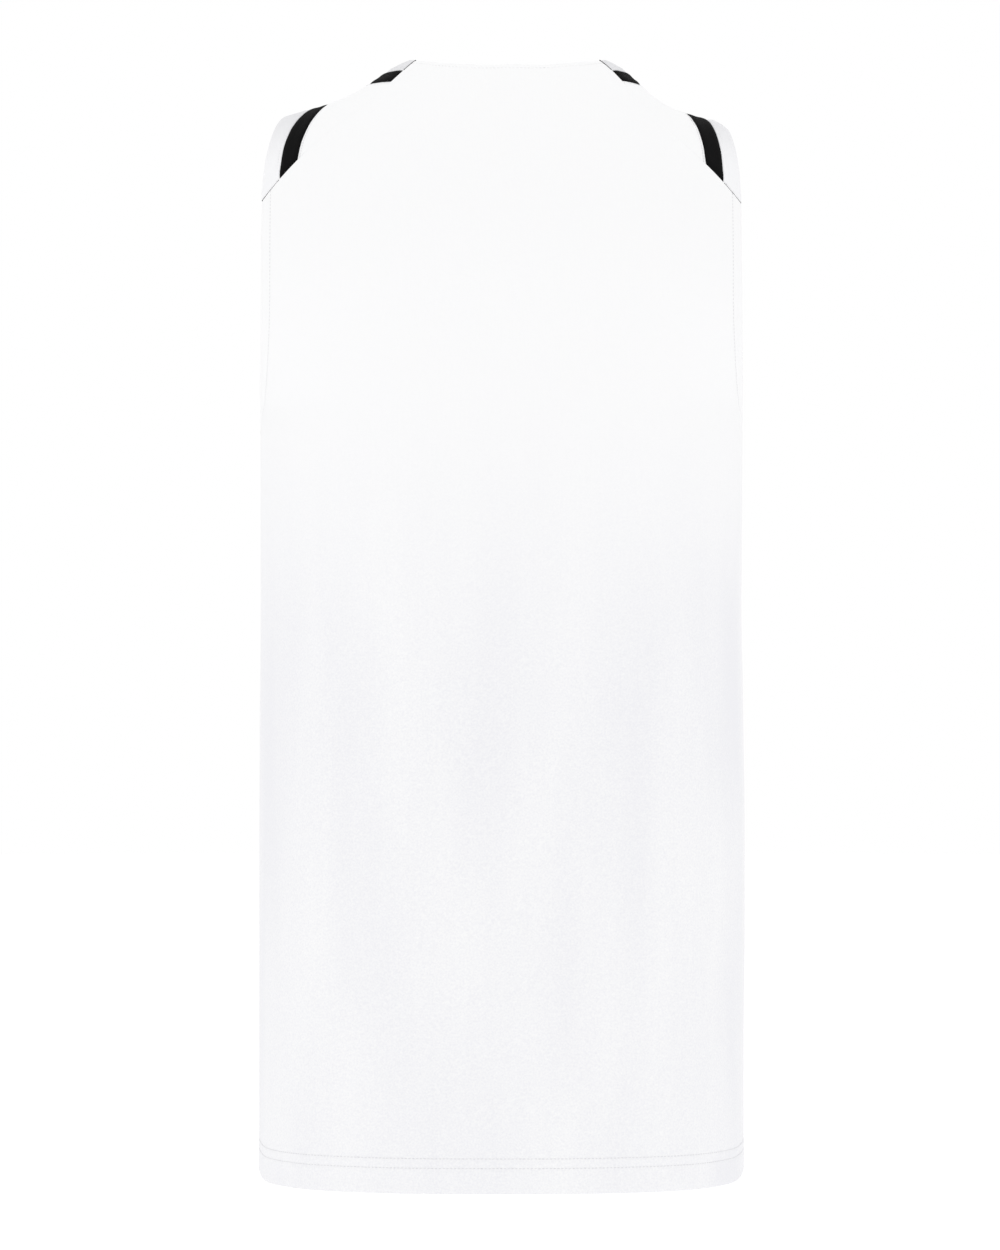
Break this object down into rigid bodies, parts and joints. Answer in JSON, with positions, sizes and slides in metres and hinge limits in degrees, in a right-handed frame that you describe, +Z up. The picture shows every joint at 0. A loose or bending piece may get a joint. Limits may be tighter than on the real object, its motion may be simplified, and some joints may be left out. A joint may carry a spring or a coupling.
{
  "type": "basketball jersey",
  "caption": "Plain sleeveless basketball jersey in white knit, filled out as if worn, with white and black trims round the neck and armholes that end at slanting back shoulder seams.",
  "frame": {"origin": "midway between the shoulders, at the height of the shoulder line beside the neck, where the wearer's shoulders hold the jersey up", "axes": "+Z up, the front faces -Y and the back faces +Y, +X towards the wearer's left arm"},
  "size_m": [0.3152, 0.2654, 0.7239],
  "materials": {
    "white_knit": "matt fine polyester knit",
    "black_knit": "matt fine polyester knit"
  },
  "bodies": {
    "root": {"back_panel": "white_knit", "front_panel": "white_knit", "neck_binding": "white_knit", "neck_stripe": "black_knit", "armhole_binding_left": "white_knit", "armhole_stripe_left": "black_knit", "armhole_binding_right": "white_knit", "armhole_stripe_right": "black_knit"}
  },
  "joints": []
}
